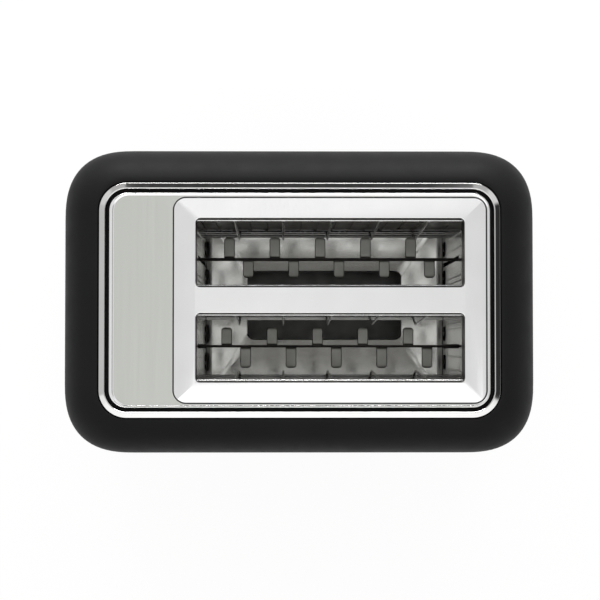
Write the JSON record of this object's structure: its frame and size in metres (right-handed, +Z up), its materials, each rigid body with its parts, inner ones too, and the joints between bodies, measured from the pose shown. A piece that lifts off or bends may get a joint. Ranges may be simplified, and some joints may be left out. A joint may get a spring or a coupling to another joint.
{
  "type": "toaster",
  "caption": "Bread toaster with long side-by-side slots, steel top in a black moulded body, sprung bread carriers worked by an end lever, dial, push buttons and crumb tray.",
  "frame": {"origin": "on the surface it stands on, under the middle of the body", "axes": "+X along the bread slots, away from the lever; +Y to the rear; +Z up"},
  "size_m": [0.264, 0.165, 0.18],
  "materials": {
    "black_plastic": "fine satin moulded texture",
    "gloss_black": "smooth glossy",
    "chrome": "bright polished",
    "polished_steel": "polished",
    "sheet_steel": "dull rolled sheet",
    "wire_steel": "drawn wire",
    "mica": "flaky mineral sheet",
    "nichrome": "oxidised ribbon",
    "rubber": "matte",
    "copper_winding": "lacquered copper winding",
    "board_green": "solder mask",
    "component": "moulded component"
  },
  "bodies": {
    "housing": {"base_plate": "sheet_steel", "base_screw_1": "wire_steel", "base_screw_2": "wire_steel", "base_screw_3": "wire_steel", "base_screw_4": "wire_steel", "cancel_switch": "component", "capacitor": "component", "centre_channel": "sheet_steel", "chassis_end_left": "sheet_steel", "chassis_end_right": "sheet_steel", "circuit_board": "board_green", "control_panel": "gloss_black", "cord_gland": "rubber", "defrost_switch": "component", "floor_plate": "sheet_steel", "foot_1": "rubber", "foot_2": "rubber", "foot_3": "rubber", "foot_4": "rubber", "guide_rod": "wire_steel", "guide_wires_front_inner": "wire_steel", "guide_wires_front_outer": "wire_steel", "guide_wires_rear_inner": "wire_steel", "guide_wires_rear_outer": "wire_steel", "heater_board_centre": "mica", "heater_board_front": "mica", "heater_board_rear": "mica", "heater_ribbon_centre": "nichrome", "heater_ribbon_front": "nichrome", "heater_ribbon_rear": "nichrome", "magnet_coil": "copper_winding", "magnet_core": "sheet_steel", "mains_switch": "component", "outer_shell": "black_plastic", "potentiometer": "component", "reheat_switch": "component", "return_spring": "wire_steel", "rod_bracket": "sheet_steel", "seat_frame": "black_plastic", "side_reflector_front": "sheet_steel", "side_reflector_rear": "sheet_steel", "slot_frame": "polished_steel", "top_plate": "polished_steel", "trim_ring": "chrome"},
    "carriage": {"bread_carrier_front": "sheet_steel", "bread_carrier_rear": "sheet_steel", "carriage_bracket": "sheet_steel", "carriage_bush": "black_plastic", "lever_arm": "sheet_steel", "lever_knob": "gloss_black", "armature_plate": "sheet_steel"},
    "dial": {"browning_dial": "gloss_black"},
    "reheat": {"reheat_button": "gloss_black"},
    "defrost": {"defrost_button": "gloss_black"},
    "cancel": {"cancel_button": "gloss_black"},
    "tray": {"crumb_tray": "sheet_steel"}
  },
  "joints": [
    {"name": "carriage_slide", "type": "slide", "parent": "housing", "child": "carriage", "axis": [0, 0, -1], "range_m": [0, 0.058], "stiffness_N_per_m": 45, "springref_m": -0.06, "deforming": ["return_spring"]},
    {"name": "dial_turn", "type": "hinge", "parent": "housing", "child": "dial", "pos_m": [-0.1205, -0.024, 0.046], "axis": [1, 0, 0], "range_deg": [-135, 135]},
    {"name": "reheat_push", "type": "slide", "parent": "housing", "child": "reheat", "axis": [1, 0, 0], "range_m": [0, 0.0015], "stiffness_N_per_m": 400, "springref_m": -0.001},
    {"name": "defrost_push", "type": "slide", "parent": "housing", "child": "defrost", "axis": [1, 0, 0], "range_m": [0, 0.0015], "stiffness_N_per_m": 400, "springref_m": -0.001},
    {"name": "cancel_push", "type": "slide", "parent": "housing", "child": "cancel", "axis": [1, 0, 0], "range_m": [0, 0.0015], "stiffness_N_per_m": 400, "springref_m": -0.001},
    {"name": "tray_slide", "type": "slide", "parent": "housing", "child": "tray", "axis": [1, 0, 0], "range_m": [0, 0.17]}
  ]
}
